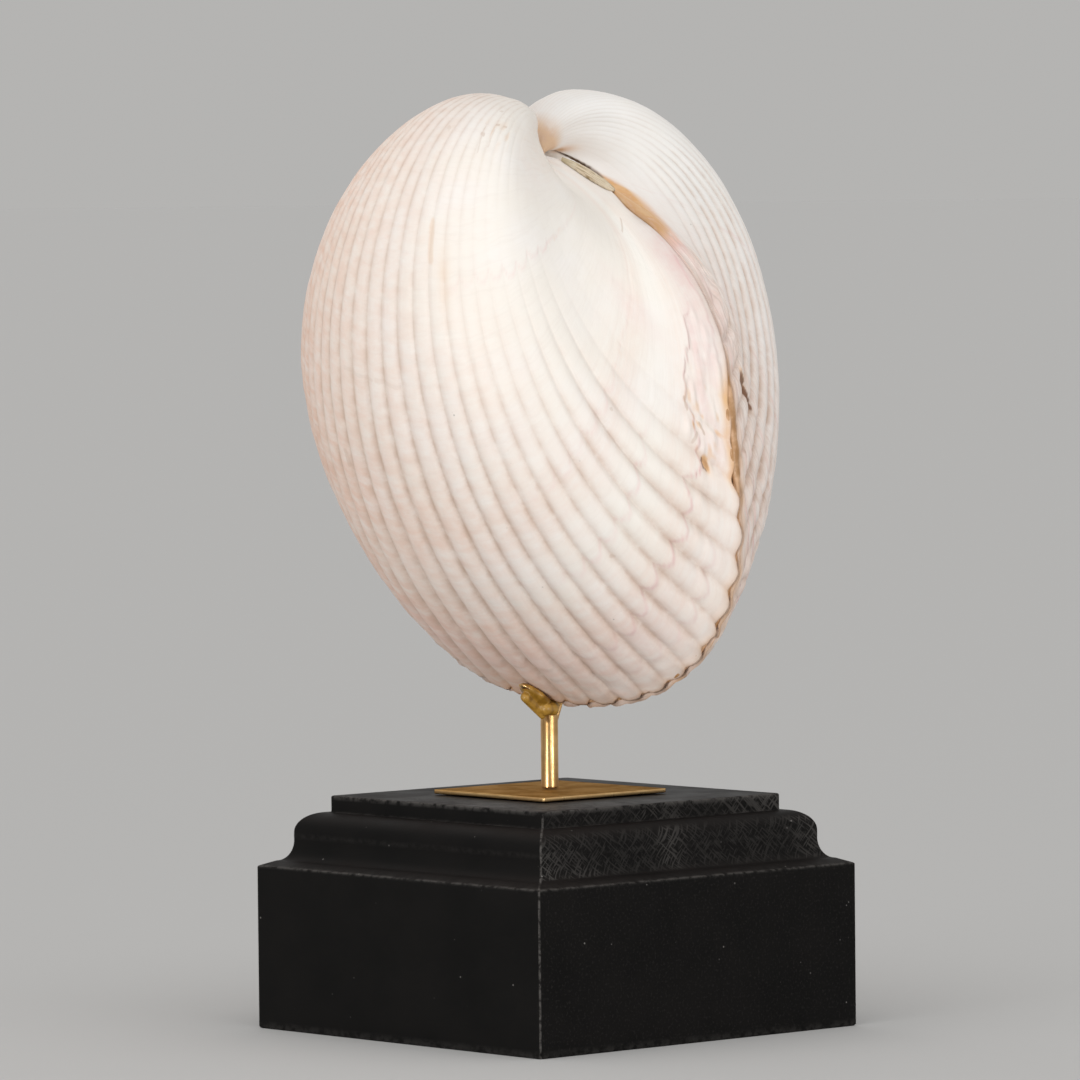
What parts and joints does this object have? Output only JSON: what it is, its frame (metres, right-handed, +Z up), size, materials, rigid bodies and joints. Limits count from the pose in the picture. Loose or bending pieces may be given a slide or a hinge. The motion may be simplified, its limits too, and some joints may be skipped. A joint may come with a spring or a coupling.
{
  "type": "cockle shell on a stand",
  "caption": "Whole closed cockle shell, ribbed and heart-shaped from the side, held hinge up by a forked brass rod on a moulded black wooden plinth.",
  "frame": {"origin": "centre of the plinth's underside, on the surface that it stands on", "axes": "+Z up, X and Y along the plinth's sides; the hinge of the shell is up, its hind end with the ligament points along +X, the left valve faces -Y and the right valve +Y"},
  "size_m": [0.1323, 0.1098, 0.221],
  "materials": {
    "shell_white": null,
    "dried_ligament": null,
    "satin_brass": "satin, drawn rod and flat plate",
    "black_wood": "matt black paint over wood, dusty, with pale worn arrises"
  },
  "bodies": {
    "root": {"left_valve": "shell_white", "right_valve": "shell_white", "ligament": "dried_ligament", "support_rod": "satin_brass", "brass_plate": "satin_brass", "wooden_plinth": "black_wood"}
  },
  "joints": []
}
